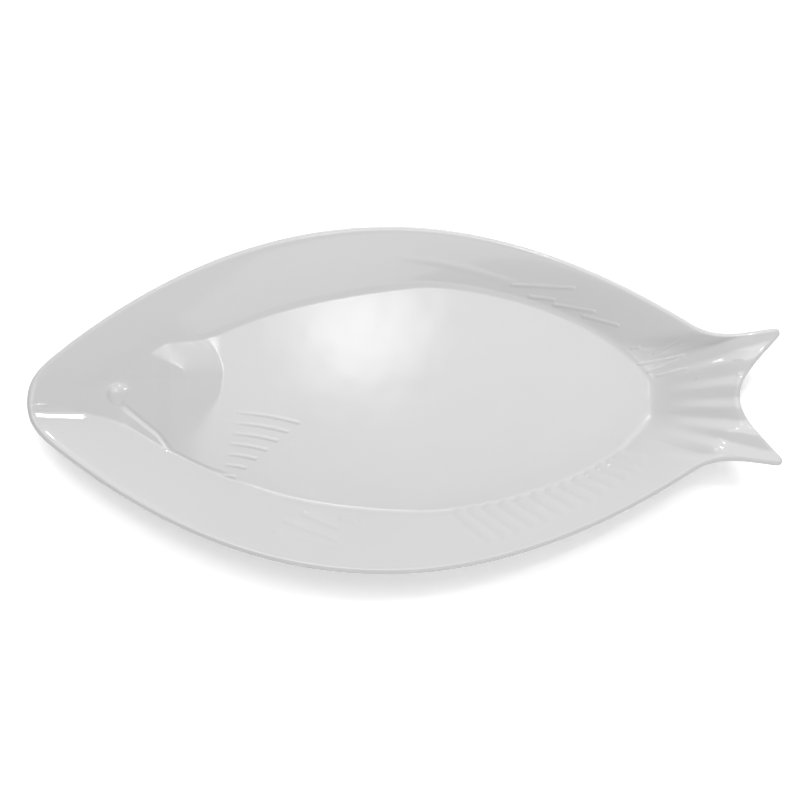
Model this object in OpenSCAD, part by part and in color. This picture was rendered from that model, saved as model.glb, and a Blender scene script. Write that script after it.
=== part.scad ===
// Fish shaped platter of glazed ware, seen from above with its snout to the left.
// X runs from the snout to the tail, Y across the body and Z up from the table.
// The origin lies on the table, at the middle of the length.

/* [Overall] */
// Length from the snout to the tips of the tail
length = 457; // [425:1:490]
// Width across the widest part of the body
width = 212; // [195:1:230]
// Height of the rim above the table
height = 27.5; // [25:0.5:31]
// Thickness of the ware, measured upright
wall = 5; // [4:0.1:6]

/* [Body outline] */
// Distance of the widest place from the middle of the length, toward the snout
widest_shift = 8; // [2:1:14]
// Length of the rounded snout along the middle line
snout_l = 21.5; // [17:0.5:26]
// Width of the head where the rounded snout ends
snout_w = 65; // [57:1:73]
// Width over which the front of the snout is blunt
snout_front_w = 28; // [22:1:34]

/* [Tail outline] */
// Length of the tail from its root to its tips
tail_l = 54.5; // [48:0.5:60]
// Width of the tail at its root
tail_root_w = 91; // [84:1:98]
// Width of the tail across its tips
tail_w = 84; // [78:1:92]
// Depth of the fork between the tips
fork_l = 25; // [20:0.5:29]
// Width over which the bottom of the fork is blunt
fork_blunt_w = 26; // [20:1:32]
// Radius of each tip
tip_r = 3.2; // [2.8:0.1:4]

/* [Well] */
// Width of the flat floor
floor_w = 138; // [125:1:145]
// Distance of the floor's widest place from the middle of the length, toward the tail
floor_shift = 5; // [0:1:10]
// Length of the floor from its widest place toward the snout
floor_front_l = 171; // [158:1:178]
// Length of the floor from its widest place toward the tail
floor_back_l = 150.6; // [140:1:156]
// Reach of the cove between the slope and the floor on the belly side
cove_near = 0.5; // [0.3:0.1:1]
// Reach of the cove between the slope and the floor on the back side
cove_far = 1.6; // [1:0.1:2.5]
// Reach of the cove between the tail and the floor
cove_tail = 1.2; // [0.8:0.1:3.2]

/* [Foot] */
// Height of the foot below the body
foot_h = 2.5; // [1.5:0.1:3.5]
// Width of the foot's standing face
foot_w = 5; // [4:0.5:7]
// Distance of the foot inside the edge of the floor
foot_inset = 6; // [4:0.5:9]

/* [Head] */
// Width of the walls beside the face
head_wall_w = 36.5; // [33:0.5:40]
// Length of the steeper face behind the snout's edge
climb_l = 61; // [54:1:68]
// Distance of the eye from the snout's edge
eye_back = 53.7; // [50:0.5:58]
// Distance of the eye from the middle line, toward the back of the fish
eye_side = 6.2; // [3:0.2:10]
// Radius of the eye
eye_r = 7.9; // [6:0.1:9]
// Height of the eye above the head
eye_rise = 2; // [1.2:0.1:2.6]
// Width of the mouth groove
mouth_w = 4.4; // [3:0.1:5]
// Depth of the mouth groove
mouth_depth = 1.2; // [0.6:0.1:1.5]
// Length of the mouth groove
mouth_l = 32.5; // [26:0.5:38]
// Distance of the mouth from the middle line, toward the belly
mouth_side = 6.6; // [5:0.2:8]
// Radius of the edge of the cheek at its rearmost place
cheek_r = 22.2; // [19:0.2:26]
// Radius of the edge of the gill cover at its rearmost place
gill_r = 26.3; // [22:0.2:30]
// Distance of the edge of the cheek from the middle of the length
cheek_x = 132.5; // [128:0.5:137]
// Distance of the edge of the gill cover from the middle of the length
gill_x = 111.2; // [107:0.5:115]
// Distance of the cheek's rearmost place from the middle line, toward the back of the fish
cheek_y = 13; // [9:0.5:17]
// Distance of the gill cover's rearmost place from the middle line, toward the back of the fish
gill_y = 17; // [13:0.5:21]
// Height of the fine line along each gill edge
gill_rise = 0.7; // [0.5:0.1:0.9]
// Length of the fine line along each gill edge, across the fish
gill_edge_w = 42; // [36:1:46]

/* [Fins] */
// Height of the fin rays above the surface
ray_rise = 0.7; // [0.4:0.1:1]
// Radius of the fin rays
ray_r = 1.5; // [1.1:0.1:2]
// Height of the belly fin's rays above the surface
anal_ray_rise = 0.9; // [0.5:0.1:1.2]
// Radius of the belly fin's rays
anal_ray_r = 3.4; // [2.6:0.1:4.2]
// Height of the two long lines of the back fin above the surface
dorsal_rise = 0.3; // [0.2:0.1:0.6]
// Number of rays in the belly fin near the tail
anal_rays = 14; // [8:1:18]
// Number of rays in the side fin on the floor
side_rays = 7; // [5:1:9]
// Length of the longest ray of the side fin
side_ray_l = 37; // [30:1:42]
// Length of the shortest ray of the side fin
side_ray_min_l = 6; // [4:0.5:8]
// Distance of the side fin's topmost ray end from the middle of the length
side_fin_x = 65; // [60:1:70]
// Distance of the side fin's topmost ray end from the middle line
side_fin_y = 12; // [8:1:16]
// Length over which the ends of the side fin's rays fall back
side_fin_run = 39; // [34:1:44]
// Width over which the ends of the side fin's rays spread
side_fin_spread = 33; // [28:1:36]
// Distance between the ridges of the tail at the fork
ridge_pitch = 14.5; // [12:0.5:17]
// Height of the tail's ridges above its valleys
ridge_h = 1.7; // [0.8:0.1:2.2]
// Distance before the fork from which the tail's valleys fan out
fan_l = 113.5; // [100:0.5:125]
// Distance from the middle line where the lower lobe of the tail starts to rise earlier
lobe_from = 8; // [4:0.5:14]
// Width over which that comes in
lobe_w = 26; // [18:1:34]
// How much earlier the lower lobe rises at its outer edge
lobe_lead = 20; // [0:1:26]

/* [Hidden] */

// Fullness of the sides toward the snout and the tail, and of the floor's outline
head_fullness_share = 2.1;
tail_fullness_share = 1.91;
floor_length_share = 1.143;
floor_front_width_share = 1.25;
floor_back_width_share = 1.12;
// The far half of the floor is this much wider than the near half
floor_far_share = 1.065;
// Handles of the outline's curves, as shares of the lengths that they follow
snout_handle_share = 0.68;
root_handle_share = 0.3;
tail_handle_share = 0.35;
fork_handle_share = 0.68;
// Directions of the tail's edges where they meet the round tips, in degrees
tail_edge_angle = 7;
fork_edge_angle = 41;

// Stations of the half outline: snout to 1, side to 2, waist to 3, tip to 4, fork to 5
snout_end = 1;
side_end = 2;
waist_end = 3;
tip_end = 4;
fork_end = 5;
// Steps along each stretch of the half outline
stretch_steps = [12, 32, 10, 4, 15];
// Steps along the rim of the head for distances from it
rim_steps = 50;
// Share of the floor's half turn that each station of the rim faces
facing_shares = [
    [0, 1], [0.35, 0.81], [1, 0.775], [1.25, 0.718], [1.4, 0.625], [1.55, 0.525], [1.7, 0.44],
    [1.8, 0.35], [1.9, 0.26], [2, 0.18], [2.4, 0.13], [3, 0.105], [4, 0.09], [5, 0]
];
// Softness of the edge at the top of the lip, as a share of the slope
lip_share = 0.04;
// Stations between which the head's walls pass into the slope of the well
head_from = 1.28;
head_to = 1.7;
// The outer part of the head's walls falls less: where it ends, by how much, and where it fades
brim_share = 0.5;
brim_ease_share = 0.08;
brim_from = 1.2;
brim_to = 1.5;
// Stations between which the tail's waist turns hollow, and how hollow it is: 1 is straight
waist_from = 1.95;
waist_to = 2.35;
waist_far_hollow_share = 1.45;
waist_near_hollow_share = 0.9;
hollow_turn_shares = [-0.14, 0.14];
// Stations between which the slope's cove turns into the tail's
tail_turn_from = 2.05;
tail_turn_to = 3;
// Shares of half the width between which the near cove turns into the far one
cove_turn_shares = [-0.57, 0.47];
// Ends of the tail's ramp past the floor's edge and before the fork, and its soft share at either end
ramp_lead = 3;
ramp_trail = 2;
ramp_ease_share = 0.18;
// Number of crests and valleys on either side of the tail's middle line, and the least spread of the fan
ridge_count = 2.5;
fan_least_share = 0.2;
// How far the slope is carried on below the floor, as a share of its own length
carry_share = 2;
// The jaw, the lowest line of the face: shares of half the length and of half the width
jaw_shares = [
    [-0.998, -0.071], [-0.858, -0.08], [-0.748, -0.009], [-0.687, -0.121], [-0.656, -0.175],
    [-0.625, -0.27], [-0.567, -0.34]
];
// Rises of the jaw toward the snout, of the cheek and of the chin beside it
jaw_rise_share = 0.045;
cheek_rise_share = 0.09;
chin_fall_share = 0.06;
jaw_cove = 0.17;
// Lowest place of the gills' edges, the soft share of their bends and the steps along them
gill_lowest = -8;
gill_soft_share = 0.2;
gill_steps = 5;
// Shares of the way in from the rim for the rings of the slope and of the underside
slope_shares = [0, 0.05, 0.12, 0.24, 0.38, 0.5, 0.64, 0.77, 0.89, 1];
under_shares = [1, 0.85, 0.6, 0.3, 0];
// Shares of the way from the floor's edge to its middle for the rings of the floor
floor_shares = [0.03, 0.075, 0.13, 0.2, 0.27, 0.34];
// Share of the way in from the rim past which the underside levels out below the floor
level_share = 0.75;
// Angles round the outside of the lip, in degrees
lip_angles = [-60, -30, 0, 30, 60];

// Ends of the fins' rays: [station, share of the way in from the rim]
anal_first_share = 1.71;
anal_last_share = 2.03;
anal_root_share = 0.95;
anal_long_share = 0.36;
anal_short_share = 0.68;
pelvic_shares = [
    [[1.365, 0.8], [1.43, 0.62]],
    [[1.32, 0.62], [1.43, 0.48]],
    [[1.3, 0.44], [1.42, 0.38]],
    [[1.44, 0.82], [1.48, 0.79]]
];
dorsal_shares = [
    [[1.17, 0.5], [1.27, 0.4], [1.38, 0.34], [1.5, 0.24]],
    [[1.55, 0.5], [1.63, 0.56], [1.7, 0.62], [1.78, 0.7]]
];
spine_shares = [
    [[1.78, 0.74], [1.85, 0.4]],
    [[1.82, 0.88], [1.85, 0.78]],
    [[1.86, 0.88], [1.91, 0.68]],
    [[1.91, 0.86], [1.96, 0.7]]
];
// Steps along the mouth and along a ray of the belly fin
mouth_steps = 6;
anal_steps = 2;
// Sides of the rounded rays
ray_sides = 6;
anal_ray_sides = 8;
// Slope of the side fin's rays, in degrees
side_ray_angle = 10;
// Steps along the foot's outline
foot_steps = 96;

snout_x = -length / 2;
widest_x = -widest_shift;
shoulder_x = snout_x + snout_l;
root_x = length / 2 - tail_l;
fork_x = length / 2 - fork_l;
floor_x = floor_shift;
underside_z = foot_h;
floor_z = underside_z + wall;
depth = height - floor_z;
lip_r = wall / 2;
head_span = widest_x - shoulder_x;
tail_span = root_x - widest_x;
snout_slope = head_fullness_share * (width - snout_w) / 2 / head_span;
root_slope = tail_fullness_share * (width - tail_root_w) / 2 / tail_span;
tip_centre = [length / 2 - tip_r, tail_w / 2 - tip_r];
jaw = [for (p = jaw_shares) [p.x * length / 2, p.y * width / 2]];
jaw_end = jaw[len(jaw) - 1];
face_l = length / 2 - lip_r;
ramp_from = floor_x + floor_back_l - ramp_lead;
ramp_to = fork_x - ramp_trail;
head_rim = [for (i = [0 : rim_steps]) lip_top(1, head_to * i / rim_steps)];

function mix(a, b, share) = a + (b - a) * share;

function clamp(value) = min(1, max(0, value));

function smooth(value) = let (v = clamp(value)) v * v * (3 - 2 * v);

function bezier(p, t) =
    p[0] * pow(1 - t, 3) + p[1] * 3 * t * pow(1 - t, 2) + p[2] * 3 * t * t * (1 - t) + p[3] * pow(t, 3);

function polar(angle) = [cos(angle), sin(angle)];

// Half width of the body at a place along its length, between the snout and the tail's root
function side_y(x) = x < widest_x
    ? mix(width, snout_w, pow((widest_x - x) / head_span, head_fullness_share)) / 2
    : mix(width, tail_root_w, pow((x - widest_x) / tail_span, tail_fullness_share)) / 2;

function snout_curve() = [
    [snout_x, 0],
    [snout_x, snout_front_w / 2],
    [shoulder_x, snout_w / 2] - [1, snout_slope] * snout_l * snout_handle_share,
    [shoulder_x, snout_w / 2]
];

function waist_curve() =
    let (tip = tip_centre + polar(90 + tail_edge_angle) * tip_r)
    [
        [root_x, tail_root_w / 2],
        [root_x, tail_root_w / 2] + [1, -root_slope] * tail_l * root_handle_share,
        tip - polar(tail_edge_angle) * tail_l * tail_handle_share,
        tip
    ];

function fork_curve() =
    let (tip = tip_centre + polar(-fork_edge_angle) * tip_r)
    [
        tip,
        tip - polar(90 - fork_edge_angle) * fork_l * fork_handle_share,
        [fork_x, fork_blunt_w / 2],
        [fork_x, 0]
    ];

function side_point(t) = let (x = mix(shoulder_x, root_x, t)) [x, side_y(x)];

function tip_point(t) = tip_centre + polar(mix(90 + tail_edge_angle, -fork_edge_angle, t)) * tip_r;

// Outermost edge of the lip at a station of the half outline
function rim(k) =
    k <= snout_end ? bezier(snout_curve(), k)
    : k <= side_end ? side_point(k - snout_end)
    : k <= waist_end ? bezier(waist_curve(), k - side_end)
    : k <= tip_end ? tip_point(k - waist_end)
    : bezier(fork_curve(), k - tip_end);

// Outward direction of the rim at a station of the half outline
function rim_out(k) =
    k <= 0 ? [-1, 0]
    : k >= fork_end ? [1, 0]
    : let (
        step = 0.01,
        along = rim(min(k + step, fork_end)) - rim(max(k - step, 0))
    )
    [-along.y, along.x] / norm(along);

// Edge of the flat floor: a half turn of 180 degrees points at the snout and 0 at the tail
function floor_edge(turn) =
    let (
        ahead = cos(turn) < 0,
        reach = ahead ? -floor_front_l : floor_back_l,
        width_share = ahead ? floor_front_width_share : floor_back_width_share
    )
    [
        floor_x + reach * pow(abs(cos(turn)), floor_length_share),
        floor_w / 2 * sign(sin(turn)) * pow(abs(sin(turn)), width_share)
    ];

// The higher of two heights, with a cove of a set reach between them
function soft_top(lower, upper, reach) =
    let (over = upper - lower)
    over < -reach ? lower : over > reach ? upper : lower + pow(over + reach, 2) / (4 * reach);

// A value kept between 0 and 1, with both bends softened
function soft_clamp(value, soft) = 1 - soft_top(0, 1 - soft_top(0, value, soft), soft);

// How far a value has passed from one limit to the next, softly from 0 to 1
function passed(value, from, to) = smooth((value - from) / (to - from));

// A share of the slope whose upper end runs level into the lip
function eased(share) = (norm([share, lip_share]) - lip_share) / (norm([1, lip_share]) - lip_share);

// A share of the slope that falls less in its outer part
function brimmed(share) =
    share * (1 - brim_ease_share) + brim_ease_share * max(0, share - brim_share) / (1 - brim_share);

// A share of the slope that falls faster near the rim
function hollowed(share, hollow) = 1 - pow(max(0, 1 - share), hollow) + max(0, share - 1);

// Edge of the floor at a station; side is 1 on the back of the fish and -1 on its belly
function floor_at(side, k) =
    let (p = floor_edge(180 * lookup(k, facing_shares)))
    [p.x, side * p.y * (side > 0 ? floor_far_share : 1)];

// Middle of the lip's top at a station
function lip_top(side, k) = let (top = rim(k) - rim_out(k) * lip_r) [top.x, side * top.y];

// Depth of the tail's valleys, which fan out from the well and run out at the floor
function ridge(p) =
    let (
        way = max(fan_least_share, 1 - (fork_x - p.x) / fan_l),
        side = min(abs(p.y) / way, ridge_pitch * ridge_count)
    )
    -ridge_h / 2 * (1 + cos(360 * side / ridge_pitch)) * passed(p.x, ramp_from, ramp_to);

// Line of the edge of the cheek or of the gill cover
function gill_line(y, edge_x, edge_y, edge_r) =
    -edge_x - pow(max(y, gill_lowest) - edge_y, 2) / (2 * edge_r);

// How far the face stands up: 1 before the cheek's edge, falling to 0 at the edge of the gill cover
function gill_share(p) =
    let (
        inner = gill_line(p.y, cheek_x, cheek_y, cheek_r),
        outer = gill_line(p.y, gill_x, gill_y, gill_r)
    )
    soft_clamp((outer - p.x) / (outer - inner), gill_soft_share / 2);

// How far the face and the gill cover stand above the floor
function head_lift(p) =
    let (
        above = p.y - lookup(p.x, jaw),
        sides = soft_top(cheek_rise_share * above, chin_fall_share * above, jaw_cove),
        ramp = jaw_rise_share * max(0, jaw_end.x - p.x),
        steep = max(0, 1 - (face_l + p.x) / climb_l)
    )
    gill_share(p) * (sides + ramp + (depth - jaw_rise_share * (face_l + jaw_end.x)) * pow(steep, 2));

// How far the tail's ramp stands above the floor
function tail_lift(p) =
    let (lead = lobe_lead * passed(-p.y, lobe_from, lobe_from + lobe_w))
    depth * soft_clamp((p.x + lead - ramp_from) / (ramp_to - ramp_from), ramp_ease_share);

// Distance of a place from a straight line between two others
function line_distance(p, a, b) =
    let (way = clamp((p - a) * (b - a) / pow(norm(b - a), 2)))
    norm(p - a - way * (b - a));

// Distance of a place p from the top of the lip round the head
function rim_distance(p) =
    let (q = [p.x, abs(p.y)])
    min([for (i = [1 : rim_steps]) line_distance(q, head_rim[i - 1], head_rim[i])]);

// Share of the slope's fall at a station and a place p, which follows the distance from the rim at the head
function fall_share(side, k, share, p) =
    let (
        far = passed(side * rim(k).y * 2 / width, hollow_turn_shares[0], hollow_turn_shares[1]),
        hollow = mix(waist_near_hollow_share, waist_far_hollow_share, far),
        well = passed(k, head_from, head_to),
        kept = well < 1 ? mix(rim_distance(p) / head_wall_w, share, well) : share,
        outer = brimmed(min(kept, 1)) + max(kept - 1, 0),
        fall = mix(outer, kept, passed(k, brim_from, brim_to))
    )
    mix(fall, hollowed(fall, hollow), passed(k, waist_from, waist_to));

// Height of the plain surface at a place p of the slope or, where the share is over 1, of the floor
function plain_z(side, k, share, p) =
    let (
        upper = height - depth * eased(fall_share(side, k, share, p)),
        lower = floor_z + max(0, head_lift(p), tail_lift(p)),
        turn = passed(side * rim(k).y * 2 / width, cove_turn_shares[0], cove_turn_shares[1]),
        tail = passed(k, tail_turn_from, tail_turn_to),
        cove = mix(mix(cove_near, cove_far, turn), cove_tail, tail)
    )
    min(height, soft_top(lower, upper, cove));

// Where a point between the rim and the floor's edge lies, seen from above
function slope_plan(side, k, share) = mix(lip_top(side, k), floor_at(side, k), share);

// A point of the slope's upper surface
function surface_point(side, k, share) =
    let (p = slope_plan(side, k, share))
    [p.x, p.y, plain_z(side, k, share, p) + ridge(p)];

// A point of the floor, a share of the way from its edge to its middle
function floor_point(side, k, share) =
    let (p = mix(floor_at(side, k), [floor_x, 0], share))
    [p.x, p.y, plain_z(side, k, 1 + carry_share * share, p) + ridge(p)];

// A point of the underside, which follows the slope and is flat below the floor
function under_point(side, k, share) =
    let (
        p = slope_plan(side, k, share),
        level = smooth((share - level_share) / (1 - level_share))
    )
    [p.x, p.y, mix(plain_z(side, k, share, p) - wall, underside_z, level)];

function lip_point(side, k, angle) =
    let (
        plan = rim(k) - rim_out(k) * lip_r * (1 - cos(angle)),
        lift = ridge(lip_top(side, k)) * (1 + sin(angle)) / 2
    )
    [plan.x, side * plan.y, height - lip_r + lip_r * sin(angle) + lift];

// Stations of the half outline from the snout to the fork
function stations() = [
    for (stretch = [0 : len(stretch_steps) - 1])
        for (i = [0 : stretch_steps[stretch] - 1])
            stretch + i / stretch_steps[stretch],
    fork_end
];

// The whole outline: the back of the fish from snout to fork, then its belly from fork to snout
function outline() =
    let (k = stations())
    [
        for (i = [0 : len(k) - 1]) [1, k[i]],
        for (i = [len(k) - 2 : -1 : 1]) [-1, k[i]]
    ];

// The shell as rings of points, from the underside over the lip and the slope to the floor
module shell() {
    places = outline();
    count = len(places);
    rings = [
        for (share = under_shares) [for (p = places) under_point(p[0], p[1], share)],
        for (angle = lip_angles) [for (p = places) lip_point(p[0], p[1], angle)],
        for (share = slope_shares) [for (p = places) surface_point(p[0], p[1], share)],
        for (share = floor_shares) [for (p = places) floor_point(p[0], p[1], share)]
    ];
    last = len(rings) - 1;
    points = [for (ring = rings) for (p = ring) p];
    faces = [
        [for (i = [count - 1 : -1 : 0]) i],
        for (r = [0 : last - 1])
            for (i = [0 : count - 1])
                let (
                    j = (i + 1) % count,
                    a = r * count + i,
                    b = r * count + j,
                    c = a + count,
                    d = b + count
                )
                each places[i][0] > 0 ? [[a, b, c], [b, d, c]] : [[a, b, d], [a, d, c]],
        [for (i = [0 : count - 1]) last * count + i]
    ];
    polyhedron(points, faces);
}

// A rounded ray through points of the surface, sunk so that only its rise shows
module ray(points, r = ray_r, rise = ray_rise, sides = ray_sides) {
    sink = [0, 0, rise - r];
    for (i = [0 : len(points) - 2]) {
        hull() {
            translate(points[i] + sink) sphere(r, $fn = sides);
            translate(points[i + 1] + sink) sphere(r, $fn = sides);
        }
    }
}

module anal_fin() {
    for (i = [0 : anal_rays - 1]) {
        way = i / (anal_rays - 1);
        k = mix(anal_first_share, anal_last_share, way);
        end = mix(anal_long_share, anal_short_share, way);
        line = [for (j = [0 : anal_steps]) surface_point(-1, k, mix(anal_root_share, end, j / anal_steps))];
        ray(line, anal_ray_r, anal_ray_rise, anal_ray_sides);
    }
}

module pelvic_fin() {
    for (line = pelvic_shares) {
        ray([for (p = line) surface_point(-1, p[0], p[1])]);
    }
}

module dorsal_fins() {
    for (line = dorsal_shares) {
        ray([for (p = line) surface_point(1, p[0], p[1])], ray_r, dorsal_rise);
    }
    for (line = spine_shares) {
        ray([for (p = line) surface_point(1, p[0], p[1])]);
    }
}

// The side fin: rays on the floor whose ends fall back toward the belly
module side_fin() {
    for (i = [0 : side_rays - 1]) {
        way = i / (side_rays - 1);
        end = [-side_fin_x - side_fin_run * way, -side_fin_y - side_fin_spread * way, floor_z];
        ray_l = mix(side_ray_l, side_ray_min_l, way);
        start = end + [-cos(side_ray_angle), sin(side_ray_angle), 0] * ray_l;
        ray([start, end]);
    }
}

module eye() {
    place = [snout_x + eye_back, eye_side];
    translate([place.x, place.y, floor_z + head_lift(place)])
        scale([1, 1, eye_rise / eye_r])
            sphere(eye_r, $fn = 32);
}

// Fine lines along the edges of the cheek and of the gill cover
module gill_edges() {
    for (edge = [[cheek_x, cheek_y, cheek_r], [gill_x, gill_y, gill_r]]) {
        line = [
            for (i = [0 : gill_steps])
                let (
                    y = gill_lowest + gill_edge_w * i / gill_steps,
                    p = [gill_line(y, edge[0], edge[1], edge[2]), y]
                )
                [p.x, p.y, floor_z + head_lift(p)]
        ];
        ray(line, ray_r, gill_rise);
    }
}

module mouth() {
    line = [
        for (i = [0 : mouth_steps])
            let (p = [snout_x + mouth_l * i / mouth_steps, -mouth_side])
            [p.x, p.y, floor_z + min(depth, head_lift(p))]
    ];
    ray(line, mouth_w / 2, mouth_w - mouth_depth);
}

// The glazed ware in one piece, with the moulded relief of the fish
module platter_body() {
    color("white")
        difference() {
            union() {
                shell();
                eye();
                gill_edges();
                anal_fin();
                pelvic_fin();
                dorsal_fins();
                side_fin();
            }
            mouth();
        }
}

// Outline of the foot at a distance inside the floor's edge
module foot_outline(inset) {
    half = [
        for (i = [0 : foot_steps - 1])
            let (
                turn = 360 * i / foot_steps,
                ahead = cos(turn) < 0,
                reach = ahead ? -(floor_front_l - inset) : floor_back_l - inset,
                width_share = ahead ? floor_front_width_share : floor_back_width_share
            )
            [
                floor_x + reach * pow(abs(cos(turn)), floor_length_share),
                (floor_w / 2 - inset) * sign(sin(turn)) * pow(abs(sin(turn)), width_share)
            ]
    ];
    polygon(half);
}

// The bare ring under the well that the platter stands on
module foot_ring() {
    color("ivory")
        linear_extrude(foot_h)
            difference() {
                foot_outline(foot_inset);
                foot_outline(foot_inset + foot_w);
            }
}

platter_body();
foot_ring();
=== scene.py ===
"""Looks of the fish shaped platter: a fine mesh of the glazed ware, the bare foot, light and camera."""
import math

import bpy
import numpy as np
from mathutils import Matrix, Vector


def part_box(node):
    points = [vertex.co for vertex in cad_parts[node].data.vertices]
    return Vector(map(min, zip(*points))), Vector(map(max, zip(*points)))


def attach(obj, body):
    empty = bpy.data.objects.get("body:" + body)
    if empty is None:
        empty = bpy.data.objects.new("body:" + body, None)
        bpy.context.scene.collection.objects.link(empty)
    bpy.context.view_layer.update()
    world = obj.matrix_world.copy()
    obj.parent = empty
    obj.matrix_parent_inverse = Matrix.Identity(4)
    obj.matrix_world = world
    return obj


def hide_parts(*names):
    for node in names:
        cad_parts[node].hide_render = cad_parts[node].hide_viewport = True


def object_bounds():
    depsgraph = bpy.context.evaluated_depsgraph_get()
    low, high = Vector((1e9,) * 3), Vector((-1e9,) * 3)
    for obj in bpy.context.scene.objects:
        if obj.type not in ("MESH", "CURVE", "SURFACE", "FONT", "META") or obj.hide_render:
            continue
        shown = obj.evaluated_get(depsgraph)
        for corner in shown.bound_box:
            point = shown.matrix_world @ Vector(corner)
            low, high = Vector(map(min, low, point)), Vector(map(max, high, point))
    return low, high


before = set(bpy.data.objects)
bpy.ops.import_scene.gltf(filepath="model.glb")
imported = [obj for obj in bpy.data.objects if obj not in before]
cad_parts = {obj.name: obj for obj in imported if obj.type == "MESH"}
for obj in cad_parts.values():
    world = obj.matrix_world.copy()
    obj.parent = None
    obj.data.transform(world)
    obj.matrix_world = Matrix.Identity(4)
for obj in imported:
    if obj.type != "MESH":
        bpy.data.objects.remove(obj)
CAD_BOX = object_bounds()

# Overall sizes, from the frame, in metres as all lengths here
LENGTH = CAD_BOX[1].x - CAD_BOX[0].x
WIDTH = CAD_BOX[1].y - CAD_BOX[0].y
HEIGHT = CAD_BOX[1].z
FOOT_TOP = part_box("foot_ring")[1].z

# Body and tail outline
WALL = 0.005
WIDEST_SHIFT = 0.008
SNOUT_L = 0.0215
SNOUT_W = 0.065
SNOUT_FRONT_W = 0.028
TAIL_L = 0.0545
TAIL_ROOT_W = 0.091
TAIL_W = 0.084
FORK_L = 0.025
FORK_BLUNT_W = 0.026
TIP_R = 0.0032
HEAD_FULLNESS = 2.1
TAIL_FULLNESS = 1.91
SNOUT_HANDLE = 0.68
ROOT_HANDLE = 0.3
TAIL_HANDLE = 0.35
FORK_HANDLE = 0.68
TAIL_EDGE_ANGLE = 7
FORK_EDGE_ANGLE = 41

# Well
FLOOR_W = 0.138
FLOOR_FAR_STRETCH = 1.065
FLOOR_SHIFT = 0.005
FLOOR_FRONT_L = 0.171
FLOOR_BACK_L = 0.1506
FLOOR_LENGTH_POWER = 1.143
FLOOR_FRONT_POWER = 1.25
FLOOR_BACK_POWER = 1.12

# Stations k of the half outline: snout to 1, side to 2, waist to 3, tip to 4, fork to 5
FORK_END = 5
# The place on the floor's edge that a station's slope meets, as a share of the half turn from tail to snout
FACING = [
    (0, 1), (0.35, 0.81), (1, 0.775), (1.25, 0.718), (1.4, 0.625), (1.55, 0.525), (1.7, 0.44),
    (1.8, 0.35), (1.9, 0.26), (2, 0.18), (2.4, 0.13), (3, 0.105), (4, 0.09), (5, 0),
]
FACING_BLUR, BLUR_STEPS = 0.07, 15

# Head: its walls keep one width, which is measured from the rim as far back as its reach
HEAD_WALL_W = 0.0365
HEAD_REACH = 0.06
HEAD_ENDS = (1.28, 1.7)
# The head's brim: the share of the slope where it ends, how soft that bend is and how much less it falls
BRIM_SHARE, BRIM_SOFT, BRIM_EASE = 0.5, 0.03, 0.08
BRIM_ENDS = (1.2, 1.5)
# The face climbs toward the snout's edge, from some way ahead of the middle
FACE_CLIMB_X, FACE_CLIMB_POWER = 0.165, 2.0
# The jaw is the lowest line of the face: its places, its rise toward the snout and the slopes beside it
JAW = [
    (-0.228, -0.0075), (-0.196, -0.0085), (-0.171, -0.001), (-0.157, -0.0128), (-0.15, -0.0185),
    (-0.1428, -0.0286), (-0.1295, -0.036),
]
JAW_SLOPE, JAW_COVE = 0.045, 0.00017
CHEEK_SLOPE, CHIN_SLOPE = 0.09, 0.06
# The crease runs along the jaw, from the eye down to the floor's edge
CREASE = [(-0.1712, -0.0012), *JAW[3:], (-0.119, -0.0405), (-0.107, -0.0446)]
CREASE_R, CREASE_DEPTH, CREASE_END = 0.0022, 0.00062, 0.1

# Coves where the slope meets the floor: their reach at the head, on the near and far sides and at the tail
COVE_HEAD, COVE_NEAR, COVE_FAR, COVE_TAIL = 0.0003, 0.0018, 0.0016, 0.0012
# Stations where the head's cove ends and the tail's comes in, and the sides' places where near turns to far
COVE_HEAD_ENDS, COVE_TAIL_ENDS = (1.1, 1.25), (2.05, 3)
COVE_TURN = (-0.06, 0.05)
# How far the slope is carried on below the floor, in shares of its fall
FLOOR_FALL = 2.0

# Tail: a ramp from the floor's edge up to the fork, with a fan of valleys
RAMP_X = (0.1525, 0.2015)
RAMP_EASE = 0.18
# On the near side the ramp starts earlier by a lead, which sets in over some width
LOBE_FROM, LOBE_W, LOBE_LEAD = 0.008, 0.026, 0.015
# The fan: its centre, the least share of its way out, and how many valleys it has to each side
FAN_X, FAN_NEAREST, FAN_VALLEYS = 0.09, 0.2, 2.5
RIDGE_PITCH = 0.0145
RIDGE_H = 0.0017
RIDGE_ENDS = (0.155, 0.2)
# The walls at the waist are hollowed by a power, which differs between the far and the near side
WAIST_HOLLOW_FAR, WAIST_HOLLOW_NEAR = 1.45, 0.9
WAIST_ENDS = (1.95, 2.35)
HOLLOW_TURN = 0.03

# Gills: edges of the cheek and of the gill cover, as their rearmost place, its side place and their curve
CHEEK_EDGE = (-0.1325, 0.013, 22.5)
COVER_EDGE = (-0.1112, 0.017, 19.0)
# Below the lowest place of their curve the edges run straight on, after a soft bend
GILL_LOWEST, GILL_BEND = -0.008, 0.012
# The cheek's edge draws forward by some way between two side places
CHEEK_RUN_OUT, CHEEK_RUN_OUT_Y = 0.005, (0.018, 0.034)
# Each edge is crisp between two side places, and softens over some way past them
GILL_CRISP, GILL_SOFT = 0.04, 0.8
GILL_CRISP_Y, GILL_SOFTENS = ((0.01, 0.019), (0.008, 0.024)), (0.01, 0.02)
# The small step at the gill cover's edge: its height and width, its middle and how far it reaches from there
GILL_STEP, GILL_STEP_W = 0.0004, 0.003
GILL_STEP_Y = (0.027, 0.012)

# Eye: a dome whose foot is cut steeper by a ring
EYE_PLACE = (-0.1748, 0.0062)
EYE_R, EYE_RISE = 0.0071, 0.0019
EYE_RING_R, EYE_RING_W, EYE_RING_DEPTH = 0.0073, 0.0011, 0.0003

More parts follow.
